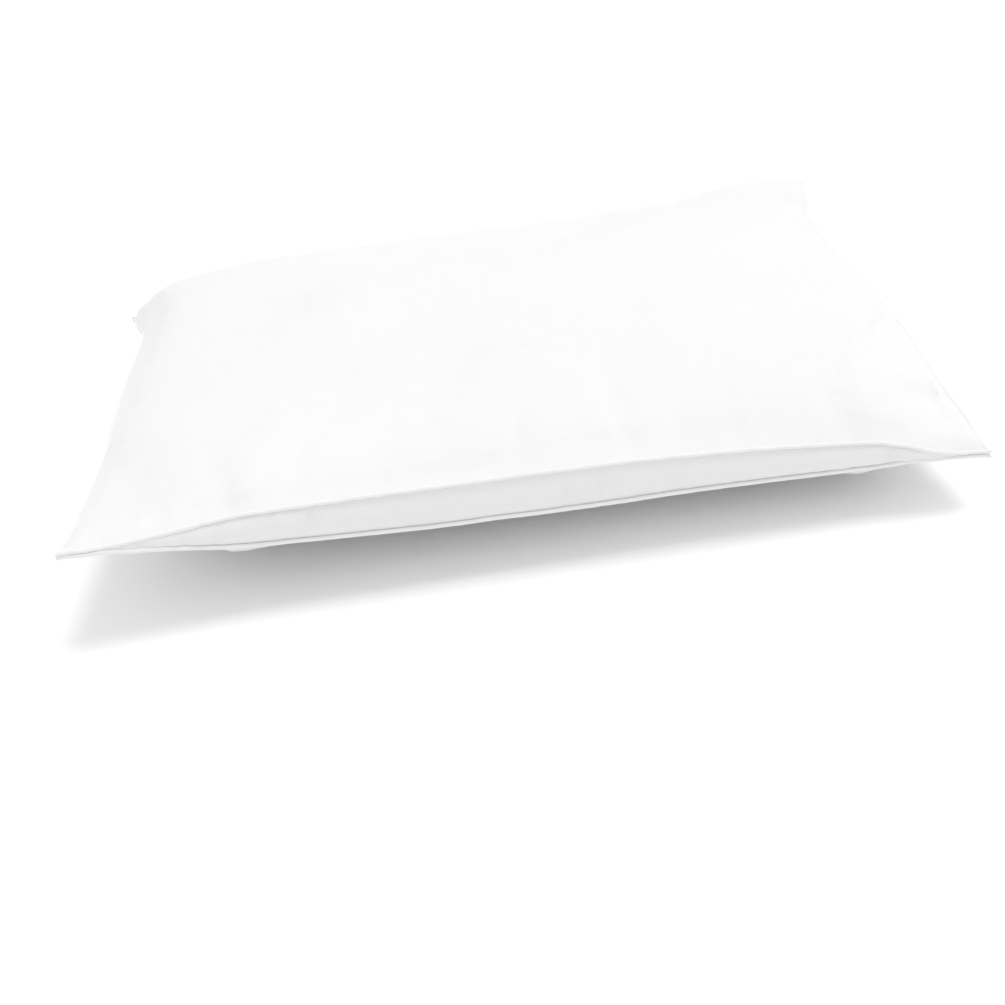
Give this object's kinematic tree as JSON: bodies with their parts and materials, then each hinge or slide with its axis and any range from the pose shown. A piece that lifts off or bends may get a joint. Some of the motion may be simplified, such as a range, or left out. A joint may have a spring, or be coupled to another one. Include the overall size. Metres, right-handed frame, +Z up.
{
  "type": "bed pillow",
  "caption": "Rectangular fibre-filled bed pillow with a crowned top and bottom, tapered side gussets, piped seams and pinched pointed corners.",
  "frame": {"origin": "middle of the underside, on the surface the pillow rests on", "axes": "+X along the pillow's length, +Y from the front gusset to the back gusset, +Z up"},
  "size_m": [0.711, 0.508, 0.1381],
  "materials": {
    "panel_cotton": "plain-woven white cotton, matt",
    "gusset_cotton": "plain-woven white cotton, matt",
    "piping_cotton": "white cotton bias strip, matt",
    "filler_cord": "unbleached twisted cotton cord",
    "thread": "white polyester sewing thread",
    "fibre": "white polyester fibre filling"
  },
  "bodies": {
    "root": {"top_panel": "panel_cotton", "bottom_panel": "panel_cotton", "gusset_front": "gusset_cotton", "gusset_back": "gusset_cotton", "gusset_left": "gusset_cotton", "gusset_right": "gusset_cotton", "top_piping": "piping_cotton", "bottom_piping": "piping_cotton", "top_piping_cord": "filler_cord", "bottom_piping_cord": "filler_cord", "top_seam_thread": "thread", "bottom_seam_thread": "thread", "top_seam_overlock": "thread", "bottom_seam_overlock": "thread", "closing_stitch": "thread", "fibre_fill": "fibre"}
  },
  "joints": []
}
